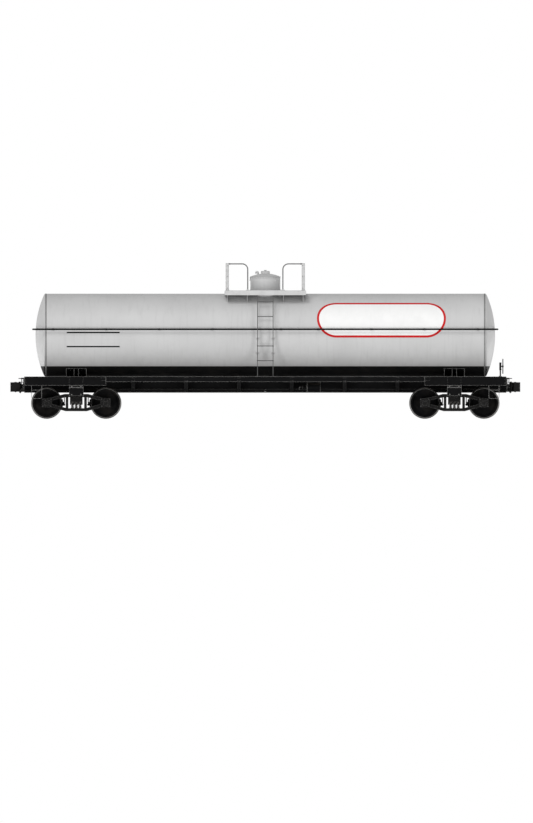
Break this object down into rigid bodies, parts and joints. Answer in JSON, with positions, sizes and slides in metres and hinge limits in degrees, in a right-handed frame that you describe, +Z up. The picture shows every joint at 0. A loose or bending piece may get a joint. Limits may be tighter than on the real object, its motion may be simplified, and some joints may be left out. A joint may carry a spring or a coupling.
{
  "type": "railway tank car",
  "caption": "Insulated pressure tank car: tank on a centre sill frame with valve housing, railed platform, running boards, knuckle couplers and two trucks.",
  "frame": {"origin": "the car's middle, at the lowest points of the wheel flanges", "axes": "+X along the car towards the end with the hand brake, +Y across it, +Z up"},
  "size_m": [14.47, 2.84, 4.4129],
  "materials": {
    "tank_paint": "light grey paint, satin, on the insulation jacket, black along the bottom",
    "platform_paint": "grey paint over rolled steel",
    "rail_paint": "black paint on pipe",
    "frame_paint": "black paint over rolled and pressed steel",
    "boards": "black-stained timber boards",
    "manway_steel": "forged steel with a primer coat",
    "valve_metal": "cast bronze",
    "cast_steel": "rough cast steel, black",
    "spring_steel": "dark spring steel",
    "wheel_steel": "wrought steel, dark, with bright treads"
  },
  "bodies": {
    "car_body": {"tank_barrel": "tank_paint", "a_tank_head": "tank_paint", "b_tank_head": "tank_paint", "valve_housing": "tank_paint", "manway_plate": "manway_steel", "housing_valves": "valve_metal", "top_platform": "platform_paint", "platform_gussets": "platform_paint", "platform_railings": "platform_paint", "left_ladder": "platform_paint", "right_ladder": "platform_paint", "side_handrails": "rail_paint", "end_handrails": "rail_paint", "handrail_brackets": "rail_paint", "centre_sill": "frame_paint", "end_sills": "frame_paint", "end_side_channels": "frame_paint", "end_decks": "boards", "running_boards": "boards", "edge_channels": "frame_paint", "cross_bearers": "frame_paint", "body_bolsters": "frame_paint", "centre_plates": "frame_paint", "tank_saddles": "frame_paint", "tank_anchor": "frame_paint", "jacking_brackets": "frame_paint", "draft_gears": "cast_steel", "sill_steps": "frame_paint", "grab_irons": "frame_paint", "uncoupling_levers": "frame_paint", "brake_cylinder": "frame_paint", "brake_reservoir": "frame_paint", "brake_valve": "frame_paint", "brake_rods": "frame_paint", "train_pipe": "frame_paint", "angle_cocks": "cast_steel", "hand_brake_stand": "frame_paint"},
    "truck_a": {"a_side_frames": "cast_steel", "a_truck_bolster": "cast_steel", "a_truck_springs": "spring_steel", "a_brake_beams": "cast_steel"},
    "truck_b": {"b_side_frames": "cast_steel", "b_truck_bolster": "cast_steel", "b_truck_springs": "spring_steel", "b_brake_beams": "cast_steel"},
    "wheelset_1": {"axle_1": "wheel_steel", "wheels_1": "wheel_steel"},
    "wheelset_2": {"axle_2": "wheel_steel", "wheels_2": "wheel_steel"},
    "wheelset_3": {"axle_3": "wheel_steel", "wheels_3": "wheel_steel"},
    "wheelset_4": {"axle_4": "wheel_steel", "wheels_4": "wheel_steel"},
    "coupler_a": {"a_coupler": "cast_steel"},
    "coupler_b": {"b_coupler": "cast_steel"},
    "knuckle_a": {"a_knuckle": "cast_steel"},
    "knuckle_b": {"b_knuckle": "cast_steel"},
    "cover": {"housing_cover": "tank_paint", "cover_fittings": "tank_paint"},
    "brake_wheel": {"hand_brake_wheel": "frame_paint"}
  },
  "joints": [
    {"name": "truck_a_swivel", "type": "hinge", "parent": "car_body", "child": "truck_a", "pos_m": [-5.365, 0, 0.68], "axis": [0, 0, 1], "range_deg": [-7, 7]},
    {"name": "truck_b_swivel", "type": "hinge", "parent": "car_body", "child": "truck_b", "pos_m": [5.365, 0, 0.68], "axis": [0, 0, 1], "range_deg": [-7, 7]},
    {"name": "wheelset_1_roll", "type": "hinge", "parent": "truck_a", "child": "wheelset_1", "pos_m": [-6.2032, 0, 0.4445], "axis": [0, 1, 0], "continuous": true},
    {"name": "wheelset_2_roll", "type": "hinge", "parent": "truck_a", "child": "wheelset_2", "pos_m": [-4.5268, 0, 0.4445], "axis": [0, 1, 0], "continuous": true},
    {"name": "wheelset_3_roll", "type": "hinge", "parent": "truck_b", "child": "wheelset_3", "pos_m": [4.5268, 0, 0.4445], "axis": [0, 1, 0], "continuous": true},
    {"name": "wheelset_4_roll", "type": "hinge", "parent": "truck_b", "child": "wheelset_4", "pos_m": [6.2032, 0, 0.4445], "axis": [0, 1, 0], "continuous": true},
    {"name": "coupler_a_swing", "type": "hinge", "parent": "car_body", "child": "coupler_a", "pos_m": [-6.34, 0, 0.9017], "axis": [0, 0, 1], "range_deg": [-7, 7]},
    {"name": "coupler_b_swing", "type": "hinge", "parent": "car_body", "child": "coupler_b", "pos_m": [6.34, 0, 0.9017], "axis": [0, 0, 1], "range_deg": [-7, 7]},
    {"name": "knuckle_a_open", "type": "hinge", "parent": "coupler_a", "child": "knuckle_a", "pos_m": [-7.09, 0.105, 0.9017], "axis": [0, 0, -1], "range_deg": [0, 50]},
    {"name": "knuckle_b_open", "type": "hinge", "parent": "coupler_b", "child": "knuckle_b", "pos_m": [7.09, -0.105, 0.9017], "axis": [0, 0, -1], "range_deg": [0, 50]},
    {"name": "cover_lift", "type": "hinge", "parent": "car_body", "child": "cover", "pos_m": [0, 0.46, 4.044], "axis": [-1, 0, 0], "range_deg": [0, 100]},
    {"name": "hand_brake_turn", "type": "hinge", "parent": "car_body", "child": "brake_wheel", "pos_m": [6.742, -0.56, 1.49], "axis": [1, 0, 0], "continuous": true}
  ]
}
